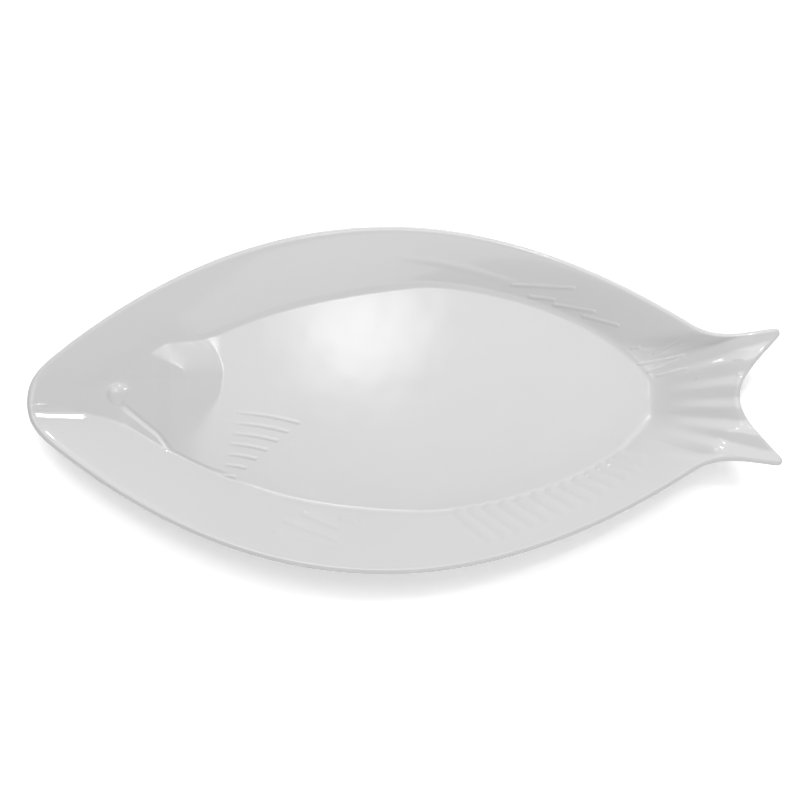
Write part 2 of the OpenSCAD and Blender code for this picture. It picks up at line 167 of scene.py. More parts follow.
# Mouth: a flat facet on each lip, by its ends in x, its upper edge and width at both, and a point of it
LOWER_LIP = {
    "ends": (-0.2285, -0.194), "tops": (-0.0068, -0.0058), "widths": (0.0022, 0.0042),
    "place": (-0.208, -0.0093, 0.0208),
}
UPPER_LIP = {
    "ends": (-0.2262, -0.2165), "tops": (-0.0003, -0.0008), "widths": (0.0012, 0.0016),
    "place": (-0.2202, -0.0013, 0.0255),
}
# The slopes of both facets along x and y, how wide their edges are, and the most that they rise or cut
LIP_SLOPES = (-0.422, -0.142)
LIP_EDGE_W, LIP_MOST = 0.0007, 0.001
# The groove above the lower lip, and the share of its depth that is left at its inner end
MOUTH_R, MOUTH_DEPTH, MOUTH_END = 0.0011, 0.0004, 0.3

# Fin ribs: half width, height, and where they fade the shares of the height at their start and end
RAY_R, RAY_RISE, RAY_START = 0.0014, 0.00022, 0.25
ANAL_R, ANAL_RISE, ANAL_START, ANAL_END = 0.0046, 0.0009, 0.6, 0.5
PELVIC_R, PELVIC_RISE = 0.0026, 0.0006
DORSAL_R, DORSAL_RISE = 0.003, 0.00016
SPINE_R, SPINE_RISE = 0.0015, 0.0005
ROOT_R, ROOT_RISE = 0.0012, 0.0005
# Side fin: its longest ray's end, how its rays shorten and step aside, their angle and their arch
SIDE_RAYS = 7
SIDE_RAY_L, SIDE_RAY_MIN_L = 0.037, 0.006
SIDE_FIN_END = (-0.065, -0.012)
SIDE_FIN_RUN, SIDE_FIN_SPREAD = 0.039, 0.033
SIDE_RAY_ANGLE = 10
RAY_ARCH = 0.001
ARCH_SHARES = (0, 0.25, 0.5, 0.75, 1)
# Anal fin: its stations, and the shares of the way in where its ribs start and end
ANAL_RAYS = 14
ANAL_STATIONS = (1.71, 2.03)
ANAL_ROOT, ANAL_LONG, ANAL_SHORT = 0.95, 0.36, 0.68
# Back fin lines, by (station, share of the way in)
DORSAL = [[(1.55, 0.5), (1.63, 0.56), (1.7, 0.62), (1.78, 0.7)]]
SPINES = [
    [(1.78, 0.74), (1.85, 0.4)], [(1.82, 0.88), (1.85, 0.78)],
    [(1.86, 0.88), (1.91, 0.68)], [(1.91, 0.86), (1.96, 0.7)],
]
# Belly fin lines, and the ribs and dots at the tail's root, by their ends
PELVIC = [
    [(-0.0618, -0.0679), (-0.0406, -0.0768)], [(-0.0726, -0.0725), (-0.0406, -0.0846)],
    [(-0.0781, -0.079), (-0.0424, -0.0884)], [(-0.0388, -0.0704), (-0.0291, -0.073)],
]
ROOT_RIBS = [
    [(0.1395, 0.0322), (0.1435, 0.0325)], [(0.153, 0.0286), (0.1705, 0.0365)],
    [(0.1438, 0.0225), (0.1705, 0.0267)], [(0.1492, 0.0176), (0.1705, 0.0255)],
    [(0.1553, 0.0152), (0.1716, 0.0188)], [(0.1783, 0.0125), (0.1785, 0.0128)],
    [(0.201, 0.0228), (0.2043, 0.0232)], [(0.2023, 0.0138), (0.2027, 0.0141)],
    [(0.2017, 0.0096), (0.202, 0.0098)],
]

# Softness of the slope's top edge, as a share of its fall, and where a ramp runs out at the lip
LIP_SOFT = 0.04
LIP_COVE = 0.0001
# Share of the way in from the rim over which the relief comes up
RELIEF_FROM = 0.05
# Share of the way in where the underside starts to level out into its flat middle
UNDER_LEVEL = 0.75

# Samples that the stations are spread by, and the step of stations that the outward direction is taken over
OUTLINE_SAMPLES = 20001
OUT_STEP = 0.004

# Fineness of the mesh
STATIONS = 1600
WALL_RINGS = 80
# The floor's rings lie close together in its outer part, which holds the face and the side fin
FINE_RINGS, FINE_SHARE = 150, 0.62
COARSE_RINGS = 30
RIM_PATH_STEP = 8
# The round of the lip starts at an angle below level, in degrees
LIP_STEPS, LIP_FROM = 16, -60
SLOPE_UNDER_RINGS = 17
UNDER_RINGS, UNDER_FROM = 8, 0.05

# Glaze: colours, roughness, coat, and each unevenness as its noise's scale per metre and detail
GLAZE_LIGHT, GLAZE_DARK = (0.805, 0.805, 0.805), (0.79, 0.79, 0.79)
GLAZE_ROUGHNESS, GLAZE_SPECULAR = (0.23, 0.27), 0.5
COAT, COAT_ROUGHNESS = 1, 0.04
CLOUD_NOISE, GLOSS_NOISE = (14, 3), (60, 2)
WAVE_NOISE, WAVE_RISE = (45, 1), 0.00006
PIT_NOISE, PIT_RISE = (700, 2), 0.000004
# Bare ware, with the same kinds of values
WARE_LIGHT, WARE_DARK = (0.8, 0.79, 0.77), (0.68, 0.665, 0.64)
WARE_ROUGHNESS, WARE_SPECULAR = (0.75, 0.95), 0.3
GRAIN_NOISE, GRAIN_RISE = (1500, 4), 0.00004
WEAR_NOISE = (1500, 2)
# The values that a noise mostly keeps between
NOISE_RANGE = (0.3, 0.7)

# Studio floor: half its side, its tone under the light and its tone as seen
STUDIO_HALF = 4.0
STUDIO_TONE, STUDIO_SEEN = 0.4, 2

# Lamps: place, size, power in watts, and whether the gloss shows them
OVERHEAD_PLACE, OVERHEAD_SIZE, OVERHEAD_POWER = (-0.041, 0.176, 1.0), (0.2, 0.2), 0.62
LAMPS = [
    ("key", (-0.1, 1.1, 1.5), (2.0, 1.2), 8.1, False),
    ("fill", (0.65, 0.9, 0.95), (0.28, 0.28), 2.8, False),
    ("back", (0.3, 0.8, 1.02), (0.1, 0.1), 1.0, True),
    ("right_high", (0.69, 0.5, 1.1), (0.14, 0.14), 0.9, True),
    ("left", (-0.64, 0.94, 0.7), (0.1, 0.1), 0.2, True),
    ("front", (0, -1.1, 0.9), (0.9, 0.6), 0.95, True),
]
# Surround: strengths at the back, at the front and in the overhead panel, and the panel's place in degrees
SKY_BACK, SKY_FRONT = 0.765, 1.01
PANEL, PANEL_TILT, PANEL_RADIUS = 1.42, 15, 20

# Camera: the photograph's scale in pixels per metre at the rim, its tilt and its small roll
PHOTO_SIDE = 800
PHOTO_SCALE = 1654
PHOTO_ZERO = (404.15, 398.9)
CAMERA_ELEVATION = 84
CAMERA_ROLL = 0.4
CAMERA_CLIPS = (0.01, 10)
LENS = 135
SENSOR = 36

# Places that follow from the sizes
SNOUT_X = -LENGTH / 2
WIDEST_X = -WIDEST_SHIFT
SHOULDER_X = SNOUT_X + SNOUT_L
ROOT_X = LENGTH / 2 - TAIL_L
FORK_X = LENGTH / 2 - FORK_L
FLOOR_Z = FOOT_TOP + WALL
DEPTH = HEIGHT - FLOOR_Z
LIP_R = WALL / 2
HEAD_SPAN = WIDEST_X - SHOULDER_X
TAIL_SPAN = ROOT_X - WIDEST_X
SNOUT_SLOPE = HEAD_FULLNESS * (WIDTH - SNOUT_W) / 2 / HEAD_SPAN
ROOT_SLOPE = TAIL_FULLNESS * (WIDTH - TAIL_ROOT_W) / 2 / TAIL_SPAN
TIP_CENTRE = np.array([LENGTH / 2 - TIP_R, TAIL_W / 2 - TIP_R])


def mix(a, b, share):
    return a + (b - a) * share


def smooth(value):
    v = np.clip(value, 0, 1)
    return v * v * (3 - 2 * v)


def between(value, ends):
    """Runs smoothly from 0 at the first end to 1 at the second."""
    return smooth((value - ends[0]) / (ends[1] - ends[0]))


def soft_top(lower, upper, reach):
    """The higher of two surfaces, with a cove of a set reach between them."""
    over = upper - lower
    cove = (over + reach) ** 2 / (4 * reach)
    return lower + np.where(over < -reach, 0, np.where(over > reach, over, cove))


def polar(angle):
    turn = np.radians(angle)
    return np.stack([np.cos(turn), np.sin(turn)], axis=-1)


def bezier(points, t):
    p = [np.array(q, float) for q in points]
    t = t[:, None]
    return p[0] * (1 - t) ** 3 + p[1] * 3 * t * (1 - t) ** 2 + p[2] * 3 * t * t * (1 - t) + p[3] * t**3


def carried_on(values):
    """A row of values, carried on past both ends as if turned about them."""
    return np.concatenate([2 * values[0] - values[:0:-1], values, 2 * values[-1] - values[-2::-1]])


def facing(k):
    """The place on the floor's edge that each station's slope meets, in degrees and without corners."""
    stations, turns = (carried_on(row) for row in np.array(FACING, float).T)
    steps = np.linspace(-1, 1, BLUR_STEPS)
    weights = (1 - steps**2) ** 2
    total = sum(w * np.interp(k + s * FACING_BLUR, stations, turns) for s, w in zip(steps, weights))
    return 180 * (total / weights.sum())


def side_line(t):
    """The side between the snout and the tail's root."""
    x = mix(SHOULDER_X, ROOT_X, t)
    head = mix(WIDTH, SNOUT_W, np.clip((WIDEST_X - x) / HEAD_SPAN, 0, 1) ** HEAD_FULLNESS)
    tail = mix(WIDTH, TAIL_ROOT_W, np.clip((x - WIDEST_X) / TAIL_SPAN, 0, 1) ** TAIL_FULLNESS)
    return np.stack([x, np.where(x < WIDEST_X, head, tail) / 2], axis=-1)


def rim(k):
    """Outermost edge of the lip at stations of the half outline."""
    shoulder = np.array([SHOULDER_X, SNOUT_W / 2])
    root = np.array([ROOT_X, TAIL_ROOT_W / 2])
    upper_tip = TIP_CENTRE + polar(90 + TAIL_EDGE_ANGLE) * TIP_R
    lower_tip = TIP_CENTRE + polar(-FORK_EDGE_ANGLE) * TIP_R
    snout = [
        (SNOUT_X, 0), (SNOUT_X, SNOUT_FRONT_W / 2),
        shoulder - np.array([1, SNOUT_SLOPE]) * SNOUT_L * SNOUT_HANDLE, shoulder,
    ]
    waist = [
        root, root + np.array([1, -ROOT_SLOPE]) * TAIL_L * ROOT_HANDLE,
        upper_tip - polar(TAIL_EDGE_ANGLE) * TAIL_L * TAIL_HANDLE, upper_tip,
    ]
    fork = [
        lower_tip, lower_tip - polar(90 - FORK_EDGE_ANGLE) * FORK_L * FORK_HANDLE,
        (FORK_X, FORK_BLUNT_W / 2), (FORK_X, 0),
    ]
    part = np.clip(np.floor(k).astype(int), 0, FORK_END - 1)
    t = np.clip(k, 0, FORK_END) - part
    tip = TIP_CENTRE + polar(mix(90 + TAIL_EDGE_ANGLE, -FORK_EDGE_ANGLE, t)) * TIP_R
    curves = [bezier(snout, t), side_line(t), bezier(waist, t), tip, bezier(fork, t)]
    return np.choose(part[:, None], curves)


def rim_out(k):
    """Outward direction of the rim."""
    along = rim(np.minimum(k + OUT_STEP, FORK_END)) - rim(np.maximum(k - OUT_STEP, 0))
    out = np.stack([-along[:, 1], along[:, 0]], axis=-1) / np.linalg.norm(along, axis=1)[:, None]
    out[k <= 0] = (-1, 0)
    out[k >= FORK_END] = (1, 0)
    return out


def floor_edge(turn):
    """Edge of the flat floor, from the tail at 0 degrees to the snout at 180."""
    c, s = polar(turn).T
    reach = np.where(c < 0, -FLOOR_FRONT_L, FLOOR_BACK_L)
    power = np.where(c < 0, FLOOR_FRONT_POWER, FLOOR_BACK_POWER)
    x = FLOOR_SHIFT + reach * np.abs(c) ** FLOOR_LENGTH_POWER
    return np.stack([x, FLOOR_W / 2 * np.abs(s) ** power], axis=-1)


def edge_at(side, k):
    """Where the slope from each station meets the floor; the far half of the floor is a little wider."""
    stretch = side * np.where(side > 0, FLOOR_FAR_STRETCH, 1)
    return floor_edge(facing(k)) * np.stack([np.ones(len(k)), stretch], axis=-1)


def even_stations(count):
    """Stations spread evenly over the rim and the floor's edge taken together."""
    k = np.linspace(0, FORK_END, OUTLINE_SAMPLES)
    steps = [np.linalg.norm(np.diff(line, axis=0), axis=1) for line in (rim(k), floor_edge(facing(k)))]
    way = np.concatenate([[0], np.cumsum(sum(steps))])
    return np.interp(np.linspace(0, way[-1], count + 1), way, k)


def whole_outline():
    """Side and station of each place round the outline: the back from snout to fork, then the belly."""
    k = even_stations(STATIONS // 2)
    side = np.concatenate([np.ones(len(k)), -np.ones(len(k) - 2)])
    return side, np.concatenate([k, k[-2:0:-1]])


class Outline:
    """The places round the outline, and what each has of the head, the brim, the waist and the coves."""

    def __init__(self):
        self.side, self.k = whole_outline()
        flip = np.stack([np.ones(len(self.k)), self.side], axis=-1)
        self.rim = rim(self.k) * flip
        self.out = rim_out(self.k) * flip
        self.edge = edge_at(self.side, self.k)
        self.waist = between(self.k, WAIST_ENDS)
        self.head = 1 - between(self.k, HEAD_ENDS)
        self.brim = 1 - between(self.k, BRIM_ENDS)
        near = mix(COVE_HEAD, COVE_NEAR, between(self.k, COVE_HEAD_ENDS))
        side = mix(near, COVE_FAR, between(self.rim[:, 1], COVE_TURN))
        self.cove = mix(side, COVE_TAIL, between(self.k, COVE_TAIL_ENDS))
        far = smooth(self.rim[:, 1] / HOLLOW_TURN + 0.5)
        self.hollow = mix(WAIST_HOLLOW_NEAR, WAIST_HOLLOW_FAR, far)


def eased(share):
    """A share of the slope whose upper end runs level into the lip."""
    soft = LIP_SOFT
    return (np.sqrt(share**2 + soft**2) - soft) / (math.sqrt(1 + soft**2) - soft)


def brimmed(share):
    """A share of the slope that falls less in its outer part, and makes up for it further in."""
    def bend(at):
        return np.logaddexp(0, (at - BRIM_SHARE) / BRIM_SOFT)

    return share * (1 - BRIM_EASE) + BRIM_EASE * (bend(share) - bend(0)) / (bend(1) - bend(0))


def rim_path(line):
    """Points on the top of the lip round the head, on both sides."""
    round_head = np.where(line.head > 0)[0]
    order = np.argsort(line.side[round_head] * line.k[round_head])
    chosen = round_head[order][::RIM_PATH_STEP]
    return (line.rim - line.out * LIP_R)[chosen]


def ridge(plan):
    """Depth of the tail's valleys, which fan out from the well and run out at the floor."""
    way = np.clip((plan[..., 0] - FAN_X) / (FORK_X - FAN_X), FAN_NEAREST, None)
    side = np.minimum(np.abs(plan[..., 1]) / way, RIDGE_PITCH * FAN_VALLEYS)
    return -RIDGE_H / 2 * (1 + np.cos(2 * np.pi * side / RIDGE_PITCH)) * between(plan[..., 0], RIDGE_ENDS)


def slope_plan(line, share):
    """Where a ring of the slope lies, seen from above."""
    return mix(line.rim - line.out * LIP_R, line.edge, share)


def place_on(side, k, share):
    """The place of one point of the slope, seen from above."""
    at = np.array([float(k)])
    top = (rim(at) - rim_out(at) * LIP_R) * (1, side)
    return mix(top, edge_at(np.array([side]), at), share)[0]


def path_distance(plan, path):
    """Distance of points from a path, and how far along it the nearest place lies, from 0 to 1."""
    best = np.full(len(plan), np.inf)
    along = np.zeros(len(plan))
    path = [np.array(p, float) for p in path]
    lengths = [np.linalg.norm(b - a) for a, b in zip(path, path[1:])]
    done = 0.0
    for a, b, length in zip(path, path[1:], lengths):
        t = np.clip((plan - a) @ (b - a) / length**2, 0, 1)
        away = np.linalg.norm(plan - a - t[:, None] * (b - a), axis=1)
        near = away < best
        best[near] = away[near]
        along[near] = (done + t[near] * length) / sum(lengths)
        done += length
    return best, along


def rib(plan, path, half_w, rise, start=1.0, end=1.0):
    """Height of a rounded rib along a path, which may be lower at its start or its end."""
    away, along = path_distance(plan, path)
    return rise * mix(start, end, along) * np.clip(1 - (away / half_w) ** 2, 0, 1) ** 2


def side_rays():
    """Arched paths of the side fin's rays, from the longest to the shortest."""
    paths = []
    for way in np.linspace(0, 1, SIDE_RAYS):
        end = np.array(SIDE_FIN_END) - np.array([SIDE_FIN_RUN, SIDE_FIN_SPREAD]) * way
        length = mix(SIDE_RAY_L, SIDE_RAY_MIN_L, way)
        start = end + polar(180 - SIDE_RAY_ANGLE) * length
        arch = RAY_ARCH * length / SIDE_RAY_L
        paths.append([mix(start, end, share) + (0, 4 * arch * share * (1 - share)) for share in ARCH_SHARES])
    return paths


def anal_rays():
    """Paths of the anal fin's ribs, from the floor's edge outward."""
    paths = []
    for way in np.linspace(0, 1, ANAL_RAYS):
        k = mix(*ANAL_STATIONS, way)
        paths.append([place_on(-1, k, ANAL_ROOT), place_on(-1, k, mix(ANAL_LONG, ANAL_SHORT, way))])
    return paths


def back_lines(lines):
    return [[place_on(1, k, share) for k, share in line] for line in lines]


def all_ribs():
    """The paths of each group of ribs, with what rib() needs to know of them."""
    return [
        (side_rays(), RAY_R, RAY_RISE, RAY_START),
        (anal_rays(), ANAL_R, ANAL_RISE, ANAL_START, ANAL_END),
        (back_lines(DORSAL), DORSAL_R, DORSAL_RISE),
        (back_lines(SPINES), SPINE_R, SPINE_RISE),
        (PELVIC, PELVIC_R, PELVIC_RISE),
        (ROOT_RIBS, ROOT_R, ROOT_RISE),
    ]


def eye(plan):
    away = np.linalg.norm(plan - np.array(EYE_PLACE), axis=1)
    dome = EYE_RISE * np.clip(1 - (away / EYE_R) ** 2, 0, 1)
    return dome - EYE_RING_DEPTH * np.clip(1 - ((away - EYE_RING_R) / EYE_RING_W) ** 2, 0, 1)


def relief(plan):
    """Height of the moulded details above the plain shape."""
    height = np.maximum(eye(plan), 0)
    for paths, *sizes in all_ribs():
        for path in paths:
            height = np.maximum(height, rib(plan, path, *sizes))
    return height + rib(plan, CREASE, CREASE_R, -CREASE_DEPTH, end=CREASE_END)


def lip_facet(plan, height, ends, tops, widths, place):
    """How far a flat facet of a lip stands above or below a surface of some height."""
    x, y = plan.T
    way = (x - ends[0]) / (ends[1] - ends[0])
    below = mix(*tops, way) - y
    reach = mix(*widths, np.clip(way, 0, 1))
    inside = smooth(below / LIP_EDGE_W) * smooth((reach - below) / LIP_EDGE_W + 1) * (way < 1) * (way > 0)
    flat = place[2] + LIP_SLOPES[0] * (x - place[0]) + LIP_SLOPES[1] * (y - place[1])
    return inside * np.clip(np.minimum(flat, HEIGHT - LIP_MOST / 2) - height, -LIP_MOST, LIP_MOST)


def mouth(plan, height):
    """Height of the lips' facets and of the groove between them."""
    groove = [(x, y + MOUTH_R / 2) for x, y in zip(LOWER_LIP["ends"], LOWER_LIP["tops"])]
    facets = lip_facet(plan, height, **LOWER_LIP) + lip_facet(plan, height, **UPPER_LIP)
    return facets + rib(plan, groove, MOUTH_R, -MOUTH_DEPTH, end=MOUTH_END)


def gill_edges(y):
    """Where the cheek and the gill cover end, at each place across."""
    over = y - GILL_LOWEST
    above = GILL_LOWEST + (over + np.sqrt(over**2 + GILL_BEND**2)) / 2
    cheek, cover = (x - curve * (above - middle) ** 2 for x, middle, curve in (CHEEK_EDGE, COVER_EDGE))
    return cheek - CHEEK_RUN_OUT * between(y, CHEEK_RUN_OUT_Y), cover


def gill_share(plan):
    """How far the face stands up: 1 at the cheek, falling over the gill cover to 0 at the cover's edge."""
    x, y = plan.T
    cheek, cover = gill_edges(y)
    way = (cover - x) / (cover - cheek)
    cheek_soft, cover_soft = (
        mix(GILL_CRISP, GILL_SOFT, smooth(np.maximum(low - y, y - high) / reach)) / 2
        for (low, high), reach in zip(GILL_CRISP_Y, GILL_SOFTENS)
    )
    return 1 - soft_top(0, 1 - soft_top(0, way, cover_soft), cheek_soft)


def gill_step(plan):
    """Height of the small step at the gill cover's edge, a crescent that thins out to both ends."""
    x, y = plan.T
    middle, reach = GILL_STEP_Y
    crescent = np.clip(1 - ((y - middle) / reach) ** 2, 0, 1)
    return GILL_STEP * crescent * smooth((gill_edges(y)[1] - x) / GILL_STEP_W + 0.5)


def head_lift(plan):
    """How far the face and the gill cover stand above the floor."""
    ahead = -plan[:, 0]
    jaw_x, jaw_y = np.array(JAW).T
    above = plan[:, 1] - np.interp(plan[:, 0], jaw_x, jaw_y)
    sides = soft_top(CHEEK_SLOPE * above, CHIN_SLOPE * above, JAW_COVE)
    ramp = JAW_SLOPE * np.maximum(ahead + jaw_x[-1], 0)
    end = LENGTH / 2 - LIP_R
    climb = np.clip((ahead - FACE_CLIMB_X) / (end - FACE_CLIMB_X), 0, None) ** FACE_CLIMB_POWER
    climb *= DEPTH - JAW_SLOPE * (end + jaw_x[-1])
    return gill_share(plan) * (sides + ramp + climb) + gill_step(plan)


def tail_lift(plan):
    """How far the tail's ramp stands above the floor."""
    lead = LOBE_LEAD * smooth((-plan[:, 1] - LOBE_FROM) / LOBE_W)
    way = (plan[:, 0] + lead - RAMP_X[0]) / (RAMP_X[1] - RAMP_X[0])
    return DEPTH * (1 - soft_top(0, 1 - soft_top(0, way, RAMP_EASE), RAMP_EASE))


def fall_share(line, plans, shares):
    """Share of the slope's fall at its rings' points, which at the head follows the way from the rim."""
    points = plans.reshape(-1, 2)
    near_head = np.where(points[:, 0] < HEAD_REACH)[0]
    away = np.full(len(points), HEAD_WALL_W)
    away[near_head] = path_distance(points[near_head], rim_path(line))[0]
    share = mix(shares, away.reshape(plans.shape[:2]) / HEAD_WALL_W, line.head)
    share = mix(share, brimmed(np.minimum(share, 1)) + np.maximum(share - 1, 0), line.brim)
    hollow = 1 - np.maximum(1 - share, 0) ** line.hollow + np.maximum(share - 1, 0)
    return mix(share, hollow, line.waist)


def plain_top(line, plans, shares):
    """Height of the plain slope and floor, without the moulded details."""
    points = plans.reshape(-1, 2)
    wall = HEIGHT - DEPTH * eased(fall_share(line, plans, shares))
    face = FLOOR_Z + np.maximum(head_lift(points), tail_lift(points)).reshape(wall.shape)
    return HEIGHT - soft_top(0, HEIGHT - soft_top(face, wall, line.cove), LIP_COVE)


def top_surface(line, plans, shares):
    """Height of the moulded slope and floor at the points of their rings."""
    points = plans.reshape(-1, 2)
    plain = plain_top(line, plans, shares)
    detail = (relief(points) + mouth(points, plain.ravel())).reshape(plain.shape)
    return np.minimum(plain + ridge(plans) + detail * smooth(shares / RELIEF_FROM), HEIGHT)


def under_rings(line, middle):
    """Rings of the underside, which is flat below the floor and then follows the slope out to the lip."""
    rings = []
    for share in np.linspace(UNDER_FROM, 1, UNDER_RINGS):
        rings.append((mix(middle, line.edge, share), np.full(len(line.k), FOOT_TOP)))
    for share in np.linspace(1, 0, SLOPE_UNDER_RINGS)[1:]:
        plan = slope_plan(line, share)
        z = plain_top(line, plan[None], np.array([[share]]))[0] - WALL
        rings.append((plan, mix(z, FOOT_TOP, between(share, (UNDER_LEVEL, 1)))))
    return rings


def lip_rings(line):
    """Rings round the lip, up to its top, which dips with the tail's valleys."""
    top = line.rim - line.out * LIP_R
    rings = []
    for angle in np.linspace(LIP_FROM, 90, LIP_STEPS + 1)[:-1]:
        turn = math.radians(angle)
        plan = line.rim - line.out * LIP_R * (1 - math.cos(turn))
        dip = ridge(top) * (1 + math.sin(turn)) / 2
        rings.append((plan, HEIGHT - LIP_R + LIP_R * math.sin(turn) + dip))
    return rings


def top_rings(line, middle):
    """Rings down the slope and over the floor to its middle."""
    shares = np.linspace(0, 1, WALL_RINGS + 1)[:-1]
    fine = np.linspace(0, FINE_SHARE, FINE_RINGS + 1)
    inward = np.concatenate([fine, np.linspace(FINE_SHARE, 1, COARSE_RINGS + 1)[1:-1]])
    plans = [slope_plan(line, share) for share in shares]
    plans += [mix(line.edge, middle, way) for way in inward]
    shares = np.concatenate([shares, 1 + inward * FLOOR_FALL])
    return list(zip(plans, top_surface(line, np.array(plans), shares[:, None])))


def platter_mesh():
    """Faces between the rings, from the middle of the underside over the lip to the middle of the floor."""
    line = Outline()
    middle = np.array([FLOOR_SHIFT, 0])
    rings = under_rings(line, middle) + lip_rings(line) + top_rings(line, middle)
    points = np.concatenate([np.column_stack(ring) for ring in rings])
    points = np.concatenate([points, [[*middle, FLOOR_Z], [*middle, FOOT_TOP]]])
    count = len(line.k)
    last = (len(rings) - 1) * count
    i = np.arange(count)
    j = (i + 1) % count
    first = np.arange(0, last, count)[:, None]
    quads = np.stack([first + i, first + j, first + j + count, first + i + count], axis=-1)
    top_fan = np.column_stack([last + i, last + j, np.full(count, len(points) - 2)])
    bottom_fan = np.column_stack([j, i, np.full(count, len(points) - 1)])
    corners = np.concatenate([quads.ravel(), top_fan.ravel(), bottom_fan.ravel()])
    starts = np.concatenate([np.arange(0, quads.size, 4), quads.size + np.arange(2 * count) * 3])
    mesh = bpy.data.meshes.new("glazed_platter")
    mesh.vertices.add(len(points))
    mesh.vertices.foreach_set("co", points.ravel())
    mesh.loops.add(len(corners))
    mesh.loops.foreach_set("vertex_index", corners.astype(np.int32))
    mesh.polygons.add(len(starts))
    mesh.polygons.foreach_set("loop_start", starts.astype(np.int32))
    mesh.polygons.foreach_set("use_smooth", np.ones(len(starts), bool))
    mesh.update(calc_edges=True)
    mesh.validate()
    return mesh


def add_object(name, data):
    new = bpy.data.objects.new(name, data)
    bpy.context.scene.collection.objects.link(new)
    return new


def new_material(name):
    material = bpy.data.materials.new(name)
    material.use_nodes = True
    return material, material.node_tree.nodes, material.node_tree.links


def ramp(nodes, links, value, read, give=(0, 1), kind="LINEAR"):
    """Turns the values of one range into those of another."""
    node = nodes.new("ShaderNodeMapRange")
    node.interpolation_type = kind
    node.inputs["From Min"].default_value, node.inputs["From Max"].default_value = read
    node.inputs["To Min"].default_value, node.inputs["To Max"].default_value = give
    links.new(value, node.inputs["Value"])
    return node.outputs["Result"]


def join(nodes, links, values, operation):
    """Joins a row of values two by two with one operation."""
    total = values[0]
    for value in values[1:]:
        node = nodes.new("ShaderNodeMath")
        node.operation = operation
        links.new(total, node.inputs[0])
        links.new(value, node.inputs[1])
        total = node.outputs[0]
    return total


def spots(nodes, links, scale, detail, give=(0, 1)):
    """A noise over the object's own places, spread between two values."""
    place = nodes.new("ShaderNodeTexCoord")
    noise = nodes.new("ShaderNodeTexNoise")
    noise.inputs["Scale"].default_value = scale
    noise.inputs["Detail"].default_value = detail
    links.new(place.outputs["Object"], noise.inputs["Vector"])
    return ramp(nodes, links, noise.outputs[0], NOISE_RANGE, give)


def add_bump(nodes, links, scale, detail, rise, under=None):
    """An unevenness of a set height over the surface, on top of another one."""
    bump = nodes.new("ShaderNodeBump")
    bump.inputs["Distance"].default_value = rise
    links.new(spots(nodes, links, scale, detail), bump.inputs["Height"])
    if under:
        links.new(under, bump.inputs["Normal"])
    return bump.outputs["Normal"]


def tinted(nodes, links, share, light, dark):
    """A colour between two, by a share."""
    tint = nodes.new("ShaderNodeMix")
    tint.data_type = "RGBA"
    tint.inputs["A"].default_value = (*dark, 1)
    tint.inputs["B"].default_value = (*light, 1)
    links.new(share, tint.inputs["Factor"])
    return tint.outputs["Result"]


def glaze():
    """White glaze, a little cloudy in tone and gloss, with the soft waves and fine pits of fired ware."""
    material, nodes, links = new_material("white_glaze")
    shader = nodes["Principled BSDF"]
    cloud = spots(nodes, links, *CLOUD_NOISE)
    links.new(tinted(nodes, links, cloud, GLAZE_LIGHT, GLAZE_DARK), shader.inputs["Base Color"])
    links.new(spots(nodes, links, *GLOSS_NOISE, GLAZE_ROUGHNESS), shader.inputs["Roughness"])
    waves = add_bump(nodes, links, *WAVE_NOISE, WAVE_RISE)
    pits = add_bump(nodes, links, *PIT_NOISE, PIT_RISE, waves)
    links.new(pits, shader.inputs["Normal"])
    links.new(waves, shader.inputs["Coat Normal"])
    shader.inputs["Specular IOR Level"].default_value = GLAZE_SPECULAR
    shader.inputs["Coat Weight"].default_value = COAT
    shader.inputs["Coat Roughness"].default_value = COAT_ROUGHNESS
    return material


def bare_ware():
    """The foot's unglazed ware: matt, grainy and a little warmer than the glaze."""
    material, nodes, links = new_material("bare_ware")
    shader = nodes["Principled BSDF"]
    grain = spots(nodes, links, *GRAIN_NOISE)
    links.new(tinted(nodes, links, grain, WARE_LIGHT, WARE_DARK), shader.inputs["Base Color"])
    links.new(spots(nodes, links, *WEAR_NOISE, WARE_ROUGHNESS), shader.inputs["Roughness"])
    links.new(add_bump(nodes, links, *GRAIN_NOISE, GRAIN_RISE), shader.inputs["Normal"])
    shader.inputs["Specular IOR Level"].default_value = WARE_SPECULAR
    return material


def white_sweep():
    """The floor's matt white, brighter to the camera, in gloss and through glass than to the light."""
    material, nodes, links = new_material("white_sweep")
    nodes.clear()
    path = nodes.new("ShaderNodeLightPath")
    rays = [path.outputs[f"Is {kind} Ray"] for kind in ("Camera", "Glossy", "Transmission")]
    pick = nodes.new("ShaderNodeMixShader")
    links.new(join(nodes, links, rays, "MAXIMUM"), pick.inputs[0])
    for socket, tone in enumerate((STUDIO_TONE, STUDIO_SEEN), 1):
        matt = nodes.new("ShaderNodeBsdfDiffuse")
        matt.inputs["Color"].default_value = (tone, tone, tone, 1)
        links.new(matt.outputs[0], pick.inputs[socket])
    links.new(pick.outputs[0], nodes.new("ShaderNodeOutputMaterial").inputs["Surface"])
    return material


def add_body():
    body = add_object("glazed_platter", platter_mesh())
    body.data.materials.append(glaze())
    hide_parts("platter_body")
    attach(body, "root")


def dress_foot():
    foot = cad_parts["foot_ring"]
    foot.data.materials.clear()
    foot.data.materials.append(bare_ware())


def add_floor():
    corners = [(x * STUDIO_HALF, y * STUDIO_HALF, 0) for x, y in ((-1, -1), (1, -1), (1, 1), (-1, 1))]
    mesh = bpy.data.meshes.new("studio_floor")
    mesh.from_pydata(corners, [], [(0, 1, 2, 3)])
    mesh.materials.append(white_sweep())
    add_object("studio_floor", mesh)


